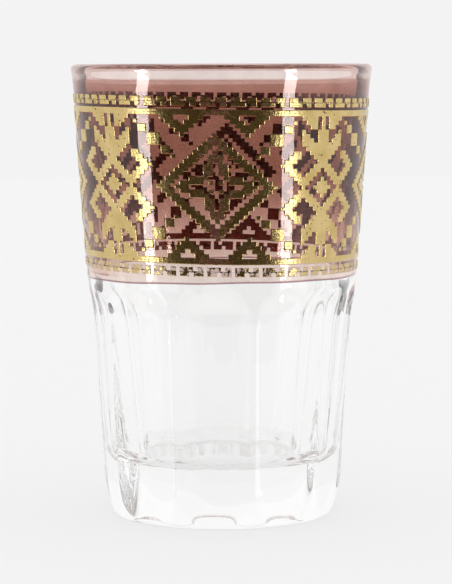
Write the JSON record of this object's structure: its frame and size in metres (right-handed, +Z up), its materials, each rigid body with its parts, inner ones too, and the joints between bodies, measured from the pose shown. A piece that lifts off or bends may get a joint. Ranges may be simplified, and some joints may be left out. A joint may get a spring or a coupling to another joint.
{
  "type": "moroccan tea glass",
  "caption": "Tapered pressed tea glass with a thick base and flat panels below, a purple colour coat round the upper half and a gold stepped carpet pattern printed over it.",
  "frame": {"origin": "centre of the base, on the surface that the glass stands on", "axes": "+Z up along the glass's axis, -Y towards the viewer of the picture, +X to their right"},
  "size_m": [0.0598, 0.0598, 0.0896],
  "materials": {
    "clear_glass": "polished",
    "purple_coat": "gloss",
    "gold_print": "satin"
  },
  "bodies": {
    "root": {"glass_body": "clear_glass", "colour_band": "purple_coat", "gold_upper_border": "gold_print", "gold_lower_border": "gold_print", "gold_upper_frieze": "gold_print", "gold_lower_frieze": "gold_print", "gold_stars": "gold_print", "gold_star_hearts": "gold_print", "gold_lozenges": "gold_print"}
  },
  "joints": []
}
